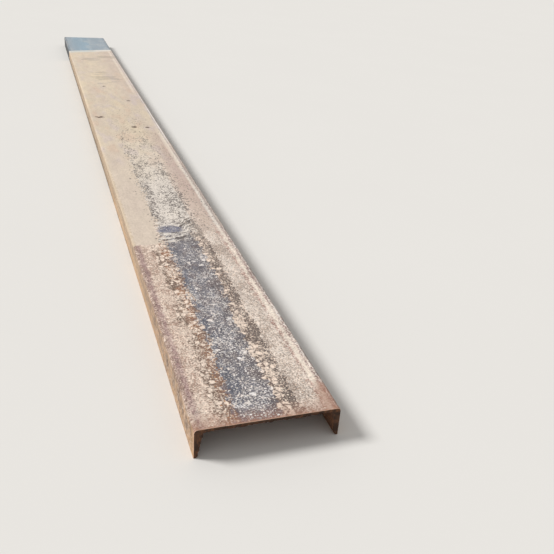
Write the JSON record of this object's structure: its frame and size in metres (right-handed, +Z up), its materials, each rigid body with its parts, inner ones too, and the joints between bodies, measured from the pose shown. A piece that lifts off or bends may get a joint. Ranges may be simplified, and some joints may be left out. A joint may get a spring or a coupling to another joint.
{
  "type": "steel channel",
  "caption": "Long hot-rolled steel channel with tapered flanges, lying on its toes with the web on top, rusted and coated with dried dust.",
  "frame": {"origin": "on the floor below the middle of the bar, at the bottom centre of its box", "axes": "+Y along the bar, +Z up out of the back of the web, X across the section"},
  "size_m": [0.381, 6.096, 0.0864],
  "materials": {
    "rusted_steel": "hot-rolled steel with mill scale, rust and a dried coat of pale dust"
  },
  "bodies": {
    "root": {"steel_channel": "rusted_steel"}
  },
  "joints": []
}
